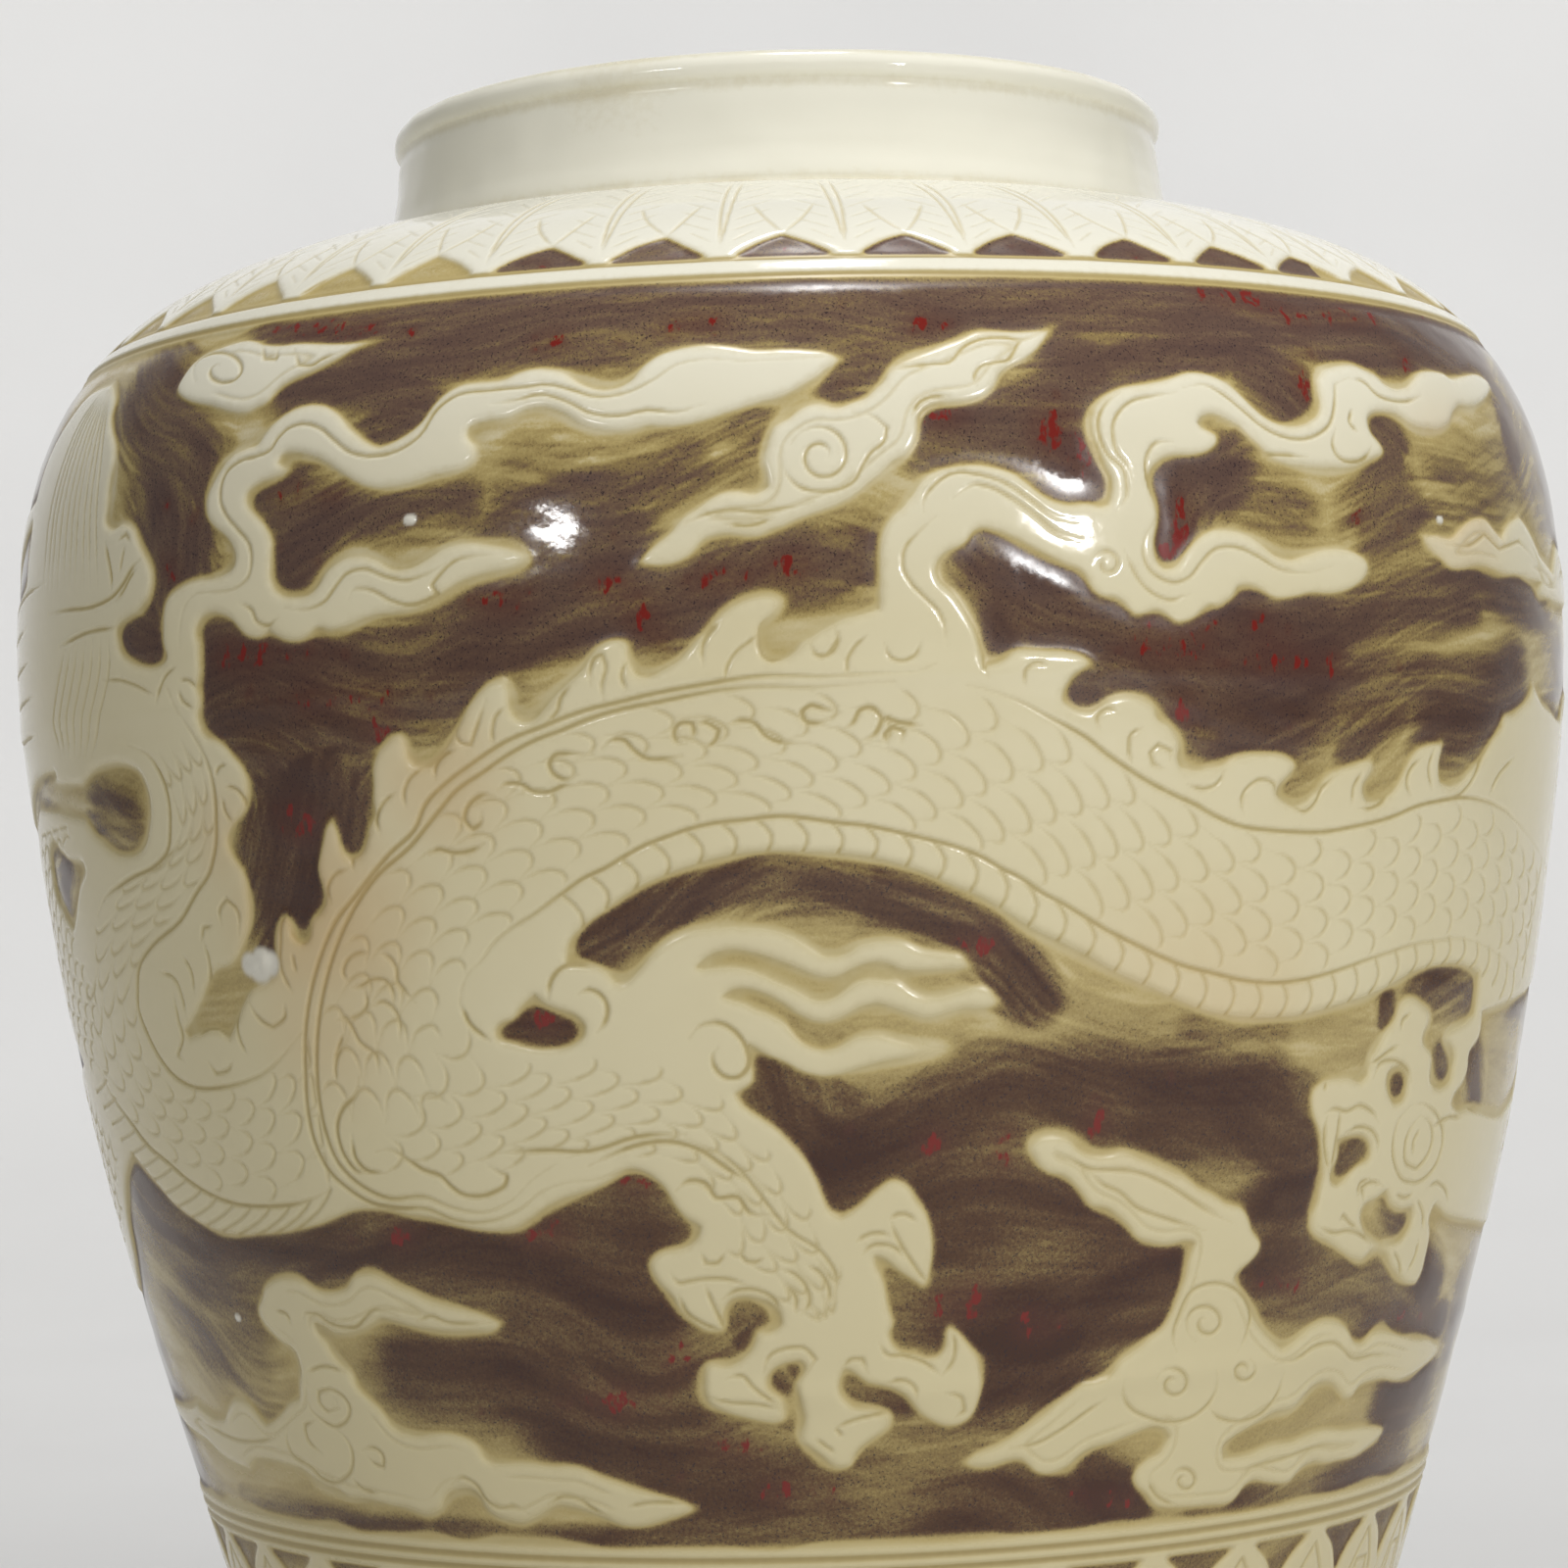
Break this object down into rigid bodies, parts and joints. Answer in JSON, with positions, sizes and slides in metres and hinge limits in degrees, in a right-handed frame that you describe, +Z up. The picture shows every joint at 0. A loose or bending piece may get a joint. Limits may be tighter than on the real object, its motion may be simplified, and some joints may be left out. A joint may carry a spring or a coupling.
{
  "type": "martaban jar",
  "caption": "Tall broad-shouldered stoneware storage jar with a short collar neck, rolled lip and turned foot ring, luted from thrown sections and carved in low relief.",
  "frame": {"origin": "centre of the foot ring on its resting plane", "axes": "+Z up along the jar's axis of revolution; -Y faces the viewer of the reference view; +X to that viewer's right"},
  "size_m": [0.4199, 0.42, 0.482],
  "materials": {
    "glazed_stoneware": "glossy transparent ivory and ochre glaze over carved relief with aubergine-brown ground",
    "bare_stoneware": "unglazed buff stoneware, burnt orange-brown where it met the kiln fire",
    "luting_slip": "fired slip smoothed into the wall and glazed over"
  },
  "bodies": {
    "root": {"base_dish": "bare_stoneware", "lower_body": "glazed_stoneware", "middle_body": "glazed_stoneware", "shoulder": "glazed_stoneware", "neck": "glazed_stoneware", "base_slip_ring": "luting_slip", "lower_slip_ring": "luting_slip", "girth_slip_ring": "luting_slip", "neck_slip_ring": "luting_slip"}
  },
  "joints": []
}
